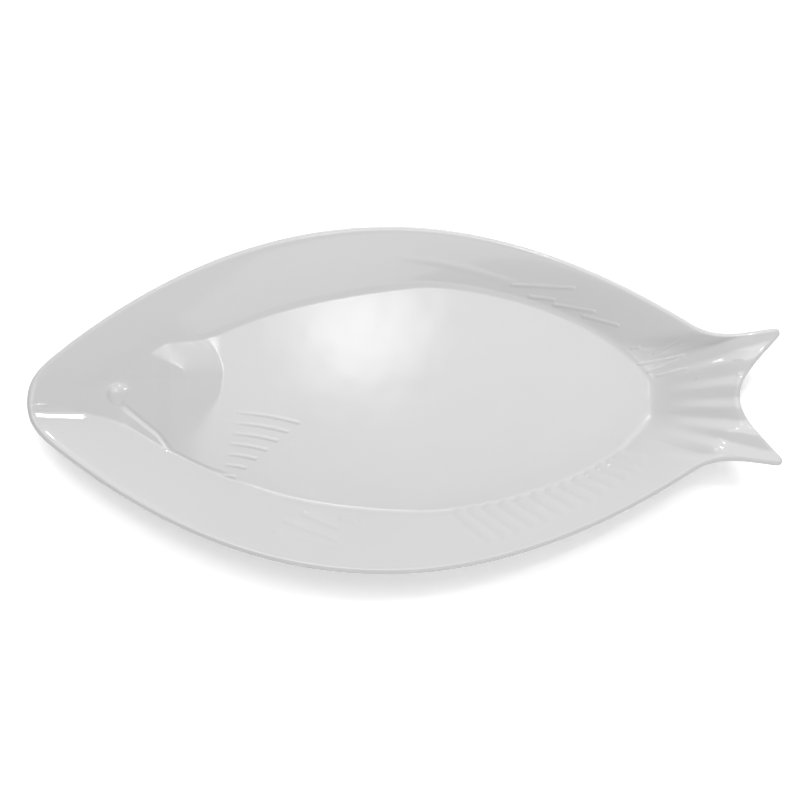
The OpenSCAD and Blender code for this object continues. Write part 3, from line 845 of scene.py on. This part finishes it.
def add_lamp(name, place, target, shape, size, power, glossy=True):
    lamp = bpy.data.lights.new(name, "AREA")
    lamp.shape = shape
    lamp.size, lamp.size_y = size
    lamp.energy = power
    holder = add_object(name, lamp)
    holder.location = place
    holder.rotation_euler = (Vector(target) - Vector(place)).to_track_quat("-Z", "Y").to_euler()
    holder.visible_camera = False
    holder.visible_glossy = glossy
    return lamp


def fade_lamp(lamp):
    """Makes a lamp brightest in its middle and dark at its edge."""
    lamp.use_nodes = True
    nodes, links = lamp.node_tree.nodes, lamp.node_tree.links
    place = nodes.new("ShaderNodeNewGeometry")
    away = nodes.new("ShaderNodeVectorMath")
    away.operation = "DISTANCE"
    away.inputs[1].default_value = (0.5, 0.5, 0)
    links.new(place.outputs["Parametric"], away.inputs[0])
    fade = ramp(nodes, links, away.outputs["Value"], (0.5, 0), kind="SMOOTHSTEP")
    links.new(fade, nodes["Emission"].inputs["Strength"])


def add_lamps():
    x, y, _ = OVERHEAD_PLACE
    overhead = add_lamp("overhead", OVERHEAD_PLACE, (x, y, 0), "SQUARE", OVERHEAD_SIZE, OVERHEAD_POWER)
    fade_lamp(overhead)
    for name, place, size, power, glossy in LAMPS:
        add_lamp(name, place, (0, 0, 0), "ELLIPSE", size, power, glossy)


def add_sky():
    """A plain bright surround, darker overhead but for one soft panel a little behind the middle."""
    world = bpy.data.worlds.new("studio")
    bpy.context.scene.world = world
    world.use_nodes = True
    nodes, links = world.node_tree.nodes, world.node_tree.links
    place = nodes.new("ShaderNodeTexCoord")
    split = nodes.new("ShaderNodeSeparateXYZ")
    links.new(place.outputs["Generated"], split.inputs[0])
    near = nodes.new("ShaderNodeVectorMath")
    near.operation = "DOT_PRODUCT"
    tilt = math.radians(PANEL_TILT)
    near.inputs[1].default_value = (0, math.sin(tilt), math.cos(tilt))
    links.new(place.outputs["Generated"], near.inputs[0])
    edge = math.cos(math.radians(PANEL_RADIUS))
    parts = [
        ramp(nodes, links, split.outputs["Y"], (0, 1), (0, SKY_BACK)),
        ramp(nodes, links, split.outputs["Y"], (0, -1), (0, SKY_FRONT)),
        ramp(nodes, links, near.outputs["Value"], (edge, 1), (0, PANEL), "SMOOTHSTEP"),
    ]
    nodes["Background"].inputs["Color"].default_value = (1, 1, 1, 1)
    links.new(join(nodes, links, parts, "ADD"), nodes["Background"].inputs["Strength"])


def add_camera():
    data = bpy.data.cameras.new("camera")
    data.lens = LENS
    data.sensor_width = SENSOR
    distance = PHOTO_SIDE * LENS / SENSOR / PHOTO_SCALE
    data.clip_start, data.clip_end = (distance * share for share in CAMERA_CLIPS)
    tilt = math.radians(CAMERA_ELEVATION)
    middle = PHOTO_SIDE / 2
    aim = Vector(((middle - PHOTO_ZERO[0]) / PHOTO_SCALE, (PHOTO_ZERO[1] - middle) / PHOTO_SCALE, HEIGHT))
    back = Vector((0, -math.cos(tilt), math.sin(tilt)))
    turn = (-back).to_track_quat("-Z", "Y").to_matrix().to_4x4()
    roll = Matrix.Rotation(math.radians(-CAMERA_ROLL), 4, "Z")
    camera = add_object("camera", data)
    camera.matrix_world = Matrix.Translation(aim + back * distance) @ turn @ roll
    bpy.context.scene.camera = camera


def main():
    add_body()
    dress_foot()
    add_floor()
    add_sky()
    add_lamps()
    add_camera()
    bpy.context.scene.view_settings.view_transform = "Standard"


main()
